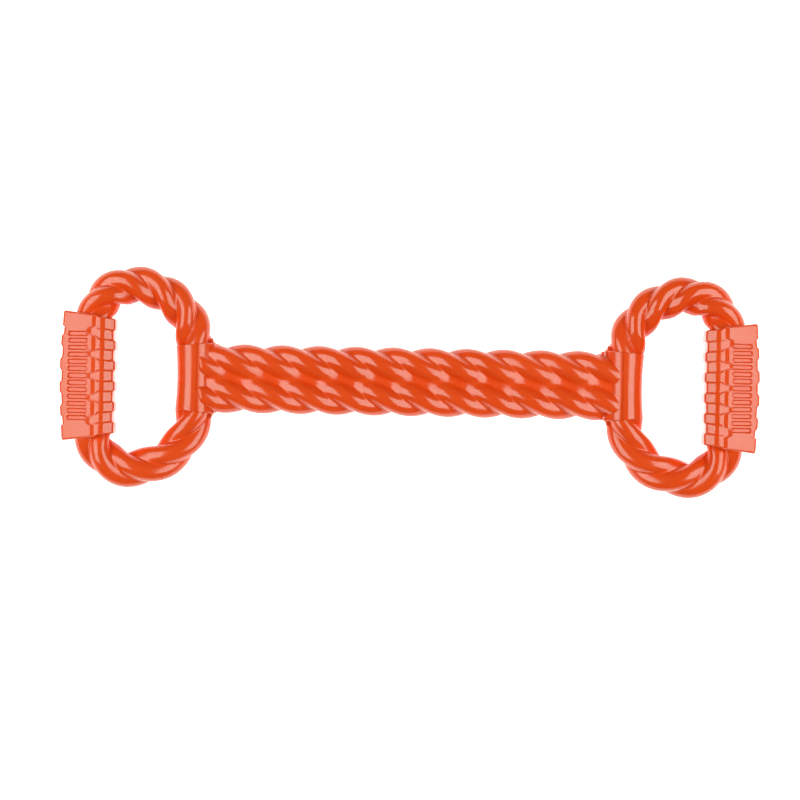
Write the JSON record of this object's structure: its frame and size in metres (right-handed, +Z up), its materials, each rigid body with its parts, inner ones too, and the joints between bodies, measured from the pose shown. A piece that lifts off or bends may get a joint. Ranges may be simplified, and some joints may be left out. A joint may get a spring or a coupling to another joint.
{
  "type": "rubber tug toy",
  "caption": "Moulded rubber dog tug toy: a bar of two parallel twisted ropes with a twisted rope ring and a ribbed hand grip at each end.",
  "frame": {"origin": "centre of the toy's outline in plan, on the surface that the grips lie on", "axes": "+X along the toy from the left ring to the right ring, +Y across it in its flat plane, +Z up out of that plane"},
  "size_m": [0.4052, 0.1282, 0.0288],
  "materials": {
    "orange_rubber": "glossy"
  },
  "bodies": {
    "root": {"bar_upper_rope": "orange_rubber", "bar_lower_rope": "orange_rubber", "left_ring_upper_rope": "orange_rubber", "left_ring_lower_rope": "orange_rubber", "left_grip_sleeve": "orange_rubber", "left_grip_front_comb": "orange_rubber", "left_grip_back_comb": "orange_rubber", "left_collar_saddle": "orange_rubber", "left_bar_root": "orange_rubber", "left_corner_webs": "orange_rubber", "right_ring_upper_rope": "orange_rubber", "right_ring_lower_rope": "orange_rubber", "right_grip_sleeve": "orange_rubber", "right_grip_front_comb": "orange_rubber", "right_grip_back_comb": "orange_rubber", "right_collar_saddle": "orange_rubber", "right_bar_root": "orange_rubber", "right_corner_webs": "orange_rubber"}
  },
  "joints": []
}
